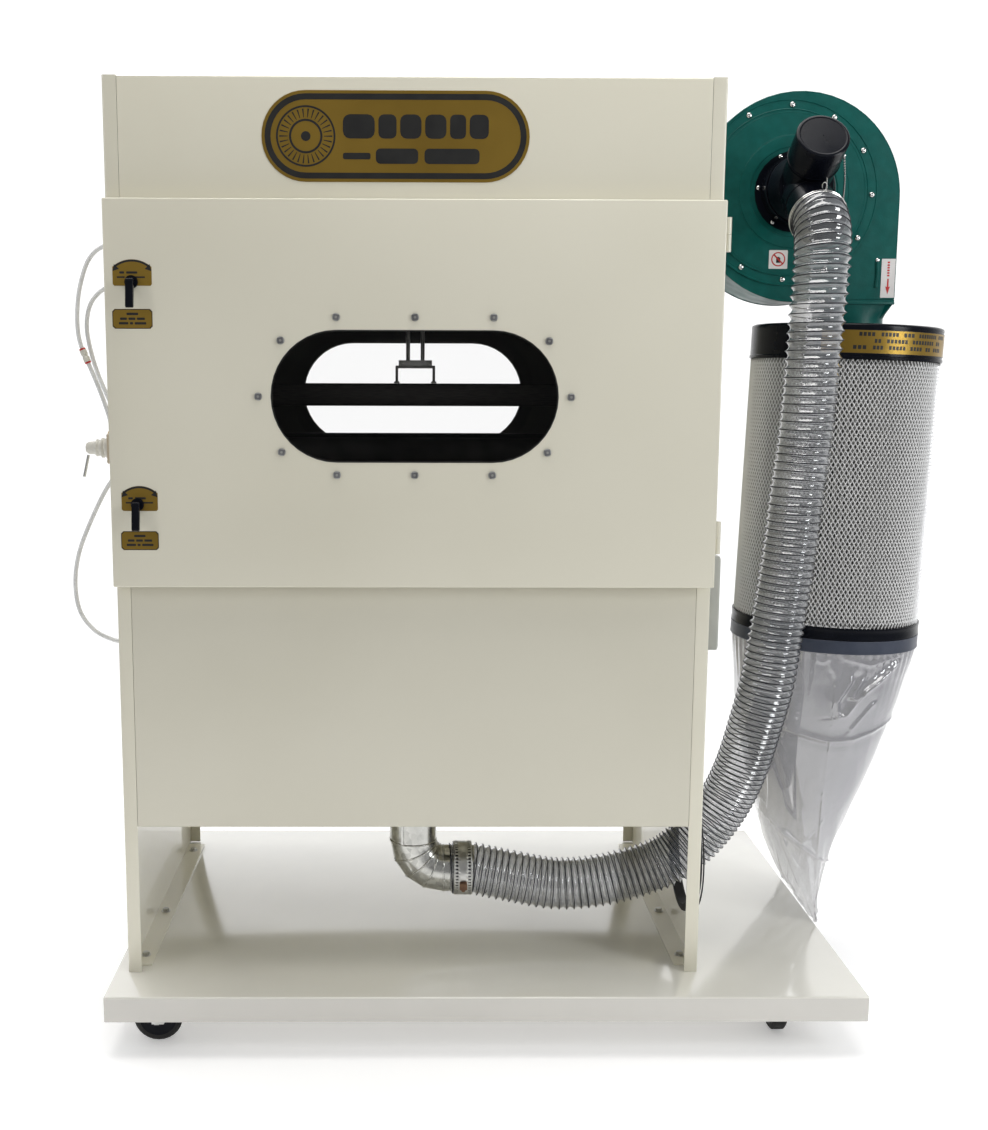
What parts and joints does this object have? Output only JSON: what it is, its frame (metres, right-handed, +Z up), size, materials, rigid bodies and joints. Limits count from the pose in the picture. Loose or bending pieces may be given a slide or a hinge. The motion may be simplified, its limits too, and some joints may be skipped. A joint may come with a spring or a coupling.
{
  "type": "filter cleaning cabinet with dust collector",
  "caption": "Sheet-metal cleaning cabinet with an oval window and hopper on a wheeled platform, piped by clear hose to a blower, canister filter and dust bag.",
  "frame": {"origin": "on the floor, under the middle of the machine's box, the free hose and air tubes left out", "axes": "+X to the machine's right along its front, +Y from the front to the back, +Z up"},
  "size_m": [1.8943, 0.9607, 1.9481],
  "materials": {
    "ivory_paint": "glossy powder coat",
    "green_paint": "hammered enamel",
    "zinc": "zinc plated",
    "chrome": "polished",
    "galvanised": "spangled zinc",
    "black_plastic": "moulded",
    "rubber": "matt",
    "tinted_pane": "clear grey tint",
    "aluminium": "machined",
    "clear_hose": "clear ribbed vinyl",
    "milky_tube": "translucent",
    "tan_plastic": "moulded",
    "grey_enamel": "satin",
    "filter_media": "pleated",
    "band_grey": "satin",
    "clear_film": "clear film",
    "motor_black": "satin",
    "start_green": "moulded",
    "stop_red": "moulded"
  },
  "bodies": {
    "cabinet": {"platform": "ivory_paint", "side_panel_left": "ivory_paint", "side_panel_right": "ivory_paint", "header_panel": "ivory_paint", "hopper_skirt": "ivory_paint", "top_panel": "ivory_paint", "back_panel": "ivory_paint", "back_window_pane": "tinted_pane", "hopper": "ivory_paint", "hose_grommet": "rubber", "upper_hinge_pin": "ivory_paint", "lower_hinge_pin": "ivory_paint", "roller_plate_left": "ivory_paint", "roller_plate_right": "ivory_paint", "roller_gearmotor": "motor_black", "lift_cylinder": "aluminium", "air_valve": "tan_plastic", "air_tube_upper": "milky_tube", "air_tube_middle": "milky_tube", "air_tube_lower": "milky_tube", "control_box": "grey_enamel", "blower_housing": "green_paint", "blower_inlet_cover": "green_paint", "outlet_transition": "green_paint", "blower_motor": "motor_black", "motor_bracket": "green_paint", "inlet_wye": "black_plastic", "duct_elbow": "galvanised", "dust_hose": "clear_hose", "canister_lid": "black_plastic", "filter_cartridge": "filter_media", "canister_collar": "black_plastic", "bag_clamp": "band_grey", "dust_bag": "clear_film"},
    "door_leaf": {"door": "ivory_paint", "door_window_pane": "tinted_pane", "window_retainer": "zinc", "upper_hinge_sleeve": "ivory_paint", "lower_hinge_sleeve": "ivory_paint"},
    "upper_latch": {"upper_latch_spindle": "black_plastic"},
    "upper_lever": {"upper_latch_lever": "black_plastic"},
    "lower_latch": {"lower_latch_spindle": "black_plastic"},
    "lower_lever": {"lower_latch_lever": "black_plastic"},
    "front_roller": {"roller_front": "rubber"},
    "rear_roller": {"roller_rear": "rubber"},
    "blow_carriage": {"lift_slide": "zinc", "blow_beam": "aluminium"},
    "valve_lever": {"air_valve_lever": "chrome"},
    "start_plunger": {"start_button": "start_green"},
    "stop_plunger": {"stop_button": "stop_red"},
    "blower_fan": {"impeller": "aluminium"},
    "branch_cap": {"wye_cap": "black_plastic"},
    "front_left_caster": {"front_left_fork": "zinc"},
    "front_left_roll": {"front_left_wheel": "rubber"},
    "front_right_caster": {"front_right_fork": "zinc"},
    "front_right_roll": {"front_right_wheel": "rubber"},
    "rear_left_caster": {"rear_left_fork": "zinc"},
    "rear_left_roll": {"rear_left_wheel": "rubber"},
    "rear_right_caster": {"rear_right_fork": "zinc"},
    "rear_right_roll": {"rear_right_wheel": "rubber"}
  },
  "joints": [
    {"name": "door_hinge", "type": "hinge", "parent": "cabinet", "child": "door_leaf", "pos_m": [0.3664, -0.3817, 1.3104], "axis": [0, 0, 1], "range_deg": [0, 110]},
    {"name": "upper_latch_turn", "type": "hinge", "parent": "door_leaf", "child": "upper_latch", "pos_m": [-0.7648, -0.3697, 1.525], "axis": [0, 1, 0], "range_deg": [0, 90]},
    {"name": "upper_lever_lift", "type": "hinge", "parent": "upper_latch", "child": "upper_lever", "pos_m": [-0.7648, -0.4165, 1.525], "axis": [-1, 0, 0], "range_deg": [0, 80]},
    {"name": "lower_latch_turn", "type": "hinge", "parent": "door_leaf", "child": "lower_latch", "pos_m": [-0.7648, -0.3697, 1.103], "axis": [0, 1, 0], "range_deg": [0, 90]},
    {"name": "lower_lever_lift", "type": "hinge", "parent": "lower_latch", "child": "lower_lever", "pos_m": [-0.7648, -0.4165, 1.103], "axis": [-1, 0, 0], "range_deg": [0, 80]},
    {"name": "front_roller_spin", "type": "hinge", "parent": "cabinet", "child": "front_roller", "pos_m": [-0.2288, -0.0997, 1.19], "axis": [1, 0, 0], "continuous": true},
    {"name": "rear_roller_spin", "type": "hinge", "parent": "cabinet", "child": "rear_roller", "pos_m": [-0.2288, 0.1503, 1.19], "axis": [1, 0, 0], "continuous": true},
    {"name": "blow_beam_lift", "type": "slide", "parent": "cabinet", "child": "blow_carriage", "axis": [0, 0, 1], "range_m": [-0.25, 0.05]},
    {"name": "valve_lever_tilt", "type": "hinge", "parent": "cabinet", "child": "valve_lever", "pos_m": [-0.9193, -0.1447, 1.184], "axis": [0, 1, 0], "range_deg": [-12, 12]},
    {"name": "start_button_press", "type": "slide", "parent": "cabinet", "child": "start_plunger", "axis": [-1, 0, 0], "range_m": [0, 0.004], "stiffness_N_per_m": 400, "springref_m": -0.004},
    {"name": "stop_button_press", "type": "slide", "parent": "cabinet", "child": "stop_plunger", "axis": [-1, 0, 0], "range_m": [0, 0.004], "stiffness_N_per_m": 400, "springref_m": -0.004},
    {"name": "blower_fan_spin", "type": "hinge", "parent": "cabinet", "child": "blower_fan", "pos_m": [0.5772, 0.0303, 1.741], "axis": [0, 1, 0], "continuous": true},
    {"name": "branch_cap_pull", "type": "slide", "parent": "cabinet", "child": "branch_cap", "axis": [0, -0.848, 0.5299], "range_m": [0, 0.12]},
    {"name": "front_left_swivel", "type": "hinge", "parent": "cabinet", "child": "front_left_caster", "pos_m": [-0.7114, -0.3917, 0.11], "axis": [0, 0, 1], "continuous": true},
    {"name": "front_left_wheel_roll", "type": "hinge", "parent": "front_left_caster", "child": "front_left_roll", "pos_m": [-0.7514, -0.3917, 0.05], "axis": [0, 1, 0], "continuous": true},
    {"name": "front_right_swivel", "type": "hinge", "parent": "cabinet", "child": "front_right_caster", "pos_m": [0.5292, -0.3917, 0.11], "axis": [0, 0, 1], "continuous": true},
    {"name": "front_right_wheel_roll", "type": "hinge", "parent": "front_right_caster", "child": "front_right_roll", "pos_m": [0.5292, -0.3517, 0.05], "axis": [1, 0, 0], "continuous": true},
    {"name": "rear_left_swivel", "type": "hinge", "parent": "cabinet", "child": "rear_left_caster", "pos_m": [-0.7114, 0.3753, 0.11], "axis": [0, 0, 1], "continuous": true},
    {"name": "rear_left_wheel_roll", "type": "hinge", "parent": "rear_left_caster", "child": "rear_left_roll", "pos_m": [-0.7514, 0.3753, 0.05], "axis": [0, 1, 0], "continuous": true},
    {"name": "rear_right_swivel", "type": "hinge", "parent": "cabinet", "child": "rear_right_caster", "pos_m": [0.5292, 0.3753, 0.11], "axis": [0, 0, 1], "continuous": true},
    {"name": "rear_right_wheel_roll", "type": "hinge", "parent": "rear_right_caster", "child": "rear_right_roll", "pos_m": [0.5292, 0.4153, 0.05], "axis": [1, 0, 0], "continuous": true}
  ]
}
